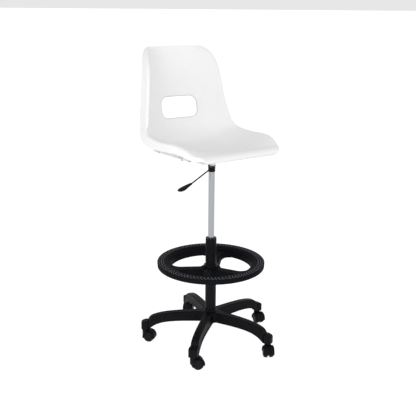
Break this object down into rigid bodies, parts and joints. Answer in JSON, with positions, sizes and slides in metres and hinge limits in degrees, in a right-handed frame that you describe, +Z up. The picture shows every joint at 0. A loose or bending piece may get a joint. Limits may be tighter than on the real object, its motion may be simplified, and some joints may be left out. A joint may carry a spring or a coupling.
{
  "type": "drafting chair",
  "caption": "Swivelling drafting chair: one-piece moulded shell with a back opening, gas lift with side lever, spoked foot ring and star base on hooded twin castors.",
  "frame": {"origin": "on the floor under the column axis, where the castors stand", "axes": "+Z up along the column; the sitter faces -Y, so the back of the shell is towards +Y and the lever is on -X, at the sitter's right hand"},
  "size_m": [0.6089, 0.6733, 1.3349],
  "materials": {
    "black_paint": "black paint",
    "black_plastic": "black plastic",
    "buffer_rubber": "black rubber",
    "bush_plastic": "black acetal",
    "cap_plastic": "light grey plastic",
    "chrome": "bright chrome",
    "dark_plastic": "charcoal glass-filled nylon, fine grain",
    "frame_paint": "light grey powder coat",
    "screw_steel": "blackened steel",
    "shell_plastic": "satin white",
    "steel": "bright steel",
    "tube_paint": "charcoal powder coat",
    "wheel_plastic": "charcoal nylon"
  },
  "bodies": {
    "base": {"star_base": "dark_plastic", "outer_tube": "tube_paint", "guide_bush": "bush_plastic", "hub_ferrule": "bush_plastic", "thrust_bearing": "steel", "castor_1_stem": "steel", "castor_2_stem": "steel", "castor_3_stem": "steel", "castor_4_stem": "steel", "castor_5_stem": "steel"},
    "spindle": {"piston_rod": "steel", "retaining_clip": "steel", "rubber_buffer": "buffer_rubber"},
    "seat": {"gas_cylinder": "chrome", "taper_socket": "frame_paint", "lever_collar": "black_plastic", "seat_plate": "frame_paint", "front_cross_bar": "frame_paint", "rear_cross_bar": "frame_paint", "side_rail_left": "frame_paint", "side_rail_right": "frame_paint", "rail_end_caps": "cap_plastic", "rail_saddles": "black_plastic", "shell_screws": "screw_steel", "plate_bolts": "steel", "seat_shell": "shell_plastic", "lever_bracket": "black_paint", "lever_pivot_pin": "steel"},
    "height_lever": {"lever_rod": "black_paint", "lever_paddle": "black_plastic"},
    "release_pin": {"release_pin": "steel"},
    "ring_sleeve": {"ring_liner": "bush_plastic"},
    "foot_ring": {"foot_ring": "dark_plastic"},
    "clamp_knob": {"clamp_knob": "bush_plastic", "clamp_stud": "steel"},
    "castor_1": {"castor_1_hood": "dark_plastic", "castor_1_axle": "steel"},
    "castor_1_wheel_left": {"castor_1_wheel_left": "wheel_plastic"},
    "castor_1_wheel_right": {"castor_1_wheel_right": "wheel_plastic"},
    "castor_2": {"castor_2_hood": "dark_plastic", "castor_2_axle": "steel"},
    "castor_2_wheel_left": {"castor_2_wheel_left": "wheel_plastic"},
    "castor_2_wheel_right": {"castor_2_wheel_right": "wheel_plastic"},
    "castor_3": {"castor_3_hood": "dark_plastic", "castor_3_axle": "steel"},
    "castor_3_wheel_left": {"castor_3_wheel_left": "wheel_plastic"},
    "castor_3_wheel_right": {"castor_3_wheel_right": "wheel_plastic"},
    "castor_4": {"castor_4_hood": "dark_plastic", "castor_4_axle": "steel"},
    "castor_4_wheel_left": {"castor_4_wheel_left": "wheel_plastic"},
    "castor_4_wheel_right": {"castor_4_wheel_right": "wheel_plastic"},
    "castor_5": {"castor_5_hood": "dark_plastic", "castor_5_axle": "steel"},
    "castor_5_wheel_left": {"castor_5_wheel_left": "wheel_plastic"},
    "castor_5_wheel_right": {"castor_5_wheel_right": "wheel_plastic"}
  },
  "joints": [
    {"name": "seat_swivel", "type": "hinge", "parent": "base", "child": "spindle", "pos_m": [0, 0, 0.11], "axis": [0, 0, 1], "continuous": true},
    {"name": "seat_height", "type": "slide", "parent": "spindle", "child": "seat", "axis": [0, 0, 1], "range_m": [-0.26, 0]},
    {"name": "height_lever", "type": "hinge", "parent": "seat", "child": "height_lever", "pos_m": [-0.02819, -0.01901, 0.8736], "axis": [-0.5592, 0.829, 0], "range_deg": [0, 5], "stiffness_Nm_per_rad": 2, "springref_deg": -6.88},
    {"name": "release_pin", "type": "slide", "parent": "seat", "child": "release_pin", "axis": [0, 0, 1], "range_m": [-0.0032, 0]},
    {"name": "ring_height", "type": "slide", "parent": "base", "child": "ring_sleeve", "axis": [0, 0, 1], "range_m": [-0.14, 0.07]},
    {"name": "ring_turn", "type": "hinge", "parent": "ring_sleeve", "child": "foot_ring", "pos_m": [0, 0, 0.371], "axis": [0, 0, 1], "continuous": true},
    {"name": "clamp_turn", "type": "hinge", "parent": "foot_ring", "child": "clamp_knob", "pos_m": [-0.04748, -0.04585, 0.355], "axis": [-0.7193, -0.6947, 0], "continuous": true},
    {"name": "castor_1_swivel", "type": "hinge", "parent": "base", "child": "castor_1", "pos_m": [0.30211, 0.02325, 0.055], "axis": [0, 0, 1], "continuous": true},
    {"name": "castor_1_left_roll", "type": "hinge", "parent": "castor_1", "child": "castor_1_wheel_left", "pos_m": [0.29751, 0.00481, 0.025], "axis": [0.9703, -0.2419, 0], "continuous": true},
    {"name": "castor_1_right_roll", "type": "hinge", "parent": "castor_1", "child": "castor_1_wheel_right", "pos_m": [0.29751, 0.00481, 0.025], "axis": [0.9703, -0.2419, 0], "continuous": true},
    {"name": "castor_2_swivel", "type": "hinge", "parent": "base", "child": "castor_2", "pos_m": [0.07125, 0.2945, 0.055], "axis": [0, 0, 1], "continuous": true},
    {"name": "castor_2_left_roll", "type": "hinge", "parent": "castor_2", "child": "castor_2_wheel_left", "pos_m": [0.0858, 0.30672, 0.025], "axis": [-0.6428, 0.766, 0], "continuous": true},
    {"name": "castor_2_right_roll", "type": "hinge", "parent": "castor_2", "child": "castor_2_wheel_right", "pos_m": [0.0858, 0.30672, 0.025], "axis": [-0.6428, 0.766, 0], "continuous": true},
    {"name": "castor_3_swivel", "type": "hinge", "parent": "base", "child": "castor_3", "pos_m": [-0.25807, 0.15877, 0.055], "axis": [0, 0, 1], "continuous": true},
    {"name": "castor_3_left_roll", "type": "hinge", "parent": "castor_3", "child": "castor_3_wheel_left", "pos_m": [-0.24612, 0.144, 0.025], "axis": [0.7771, 0.6293, 0], "continuous": true},
    {"name": "castor_3_right_roll", "type": "hinge", "parent": "castor_3", "child": "castor_3_wheel_right", "pos_m": [-0.24612, 0.144, 0.025], "axis": [0.7771, 0.6293, 0], "continuous": true},
    {"name": "castor_4_swivel", "type": "hinge", "parent": "base", "child": "castor_4", "pos_m": [-0.23075, -0.19638, 0.055], "axis": [0, 0, 1], "continuous": true},
    {"name": "castor_4_left_roll", "type": "hinge", "parent": "castor_4", "child": "castor_4_wheel_left", "pos_m": [-0.21289, -0.20288, 0.025], "axis": [0.342, 0.9397, 0], "continuous": true},
    {"name": "castor_4_right_roll", "type": "hinge", "parent": "castor_4", "child": "castor_4_wheel_right", "pos_m": [-0.21289, -0.20288, 0.025], "axis": [0.342, 0.9397, 0], "continuous": true},
    {"name": "castor_5_swivel", "type": "hinge", "parent": "base", "child": "castor_5", "pos_m": [0.11546, -0.28014, 0.055], "axis": [0, 0, 1], "continuous": true},
    {"name": "castor_5_left_roll", "type": "hinge", "parent": "castor_5", "child": "castor_5_wheel_left", "pos_m": [0.10568, -0.29642, 0.025], "axis": [0.8572, -0.515, 0], "continuous": true},
    {"name": "castor_5_right_roll", "type": "hinge", "parent": "castor_5", "child": "castor_5_wheel_right", "pos_m": [0.10568, -0.29642, 0.025], "axis": [0.8572, -0.515, 0], "continuous": true}
  ],
  "couplings": [
    {"joint": "release_pin", "follows": "height_lever", "m_per_rad": -0.035}
  ]
}
